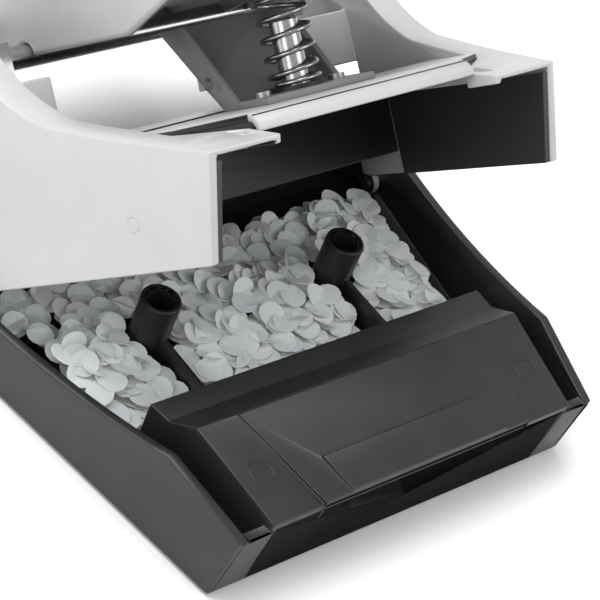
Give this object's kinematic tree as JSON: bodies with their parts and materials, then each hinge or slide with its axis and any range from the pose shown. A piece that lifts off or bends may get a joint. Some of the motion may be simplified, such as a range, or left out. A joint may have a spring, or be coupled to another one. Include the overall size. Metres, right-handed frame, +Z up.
{
  "type": "hole punch",
  "caption": "Desk paper punch for two holes, with a hinged chip tray shown open under a raised body, a sprung lever and a sliding paper guide.",
  "frame": {"origin": "under the middle of the opened punch, on the desk", "axes": "+X to the right seen from the paper side's back, +Y to the rear where the tray opens, +Z up"},
  "size_m": [0.1292, 0.1424, 0.1164],
  "materials": {
    "tray_plastic": "satin moulded",
    "cover_plastic": "satin moulded",
    "painted_steel": "grey paint",
    "zinc_steel": "zinc plated",
    "bright_steel": "ground",
    "spring_steel": "drawn wire",
    "foot_rubber": "matt",
    "paper": "uncoated paper"
  },
  "bodies": {
    "tray": {"chip_tray": "tray_plastic", "tray_feet": "foot_rubber", "tray_hinge_pins": "zinc_steel", "paper_chips": "paper"},
    "punch_body": {"base_cover": "cover_plastic", "base_liner": "cover_plastic", "spring_plate": "cover_plastic", "paper_table": "zinc_steel", "die_bush_right": "zinc_steel", "die_bush_left": "zinc_steel", "punch_guide_right": "zinc_steel", "punch_guide_left": "zinc_steel", "return_spring": "spring_steel", "spring_seat": "tray_plastic", "guide_post": "bright_steel", "spring_bracket": "painted_steel", "bracket_rivets": "zinc_steel", "pivot_pin": "bright_steel", "pivot_clips": "zinc_steel", "guide_runners": "tray_plastic", "table_screws": "zinc_steel"},
    "lever": {"lever_arm": "painted_steel", "lever_cover": "cover_plastic", "press_bar": "bright_steel", "bar_collars": "zinc_steel"},
    "right_punch": {"punch_right": "bright_steel"},
    "left_punch": {"punch_left": "bright_steel"},
    "guide": {"paper_guide": "tray_plastic"}
  },
  "joints": [
    {"name": "tray_hinge", "type": "hinge", "parent": "tray", "child": "punch_body", "pos_m": [0, -0.01228, 0.0055], "axis": [1, 0, 0], "range_deg": [-46.3, 0]},
    {"name": "lever_press", "type": "hinge", "parent": "punch_body", "child": "lever", "pos_m": [0, -0.05874, 0.02708], "axis": [-1, 0, 0], "range_deg": [0, 18.05], "stiffness_Nm_per_rad": 1.2, "springref_deg": -14.32, "deforming": ["return_spring"]},
    {"name": "right_punch_slide", "type": "slide", "parent": "punch_body", "child": "right_punch", "axis": [0, 0.723, -0.6909], "range_m": [0, 0.0061]},
    {"name": "left_punch_slide", "type": "slide", "parent": "punch_body", "child": "left_punch", "axis": [0, 0.723, -0.6909], "range_m": [0, 0.0061]},
    {"name": "guide_slide", "type": "slide", "parent": "punch_body", "child": "guide", "axis": [1, 0, 0], "range_m": [0, 0.055]}
  ],
  "couplings": [
    {"joint": "right_punch_slide", "follows": "lever_press", "m_per_rad": 0.019359},
    {"joint": "left_punch_slide", "follows": "lever_press", "m_per_rad": 0.019359}
  ]
}
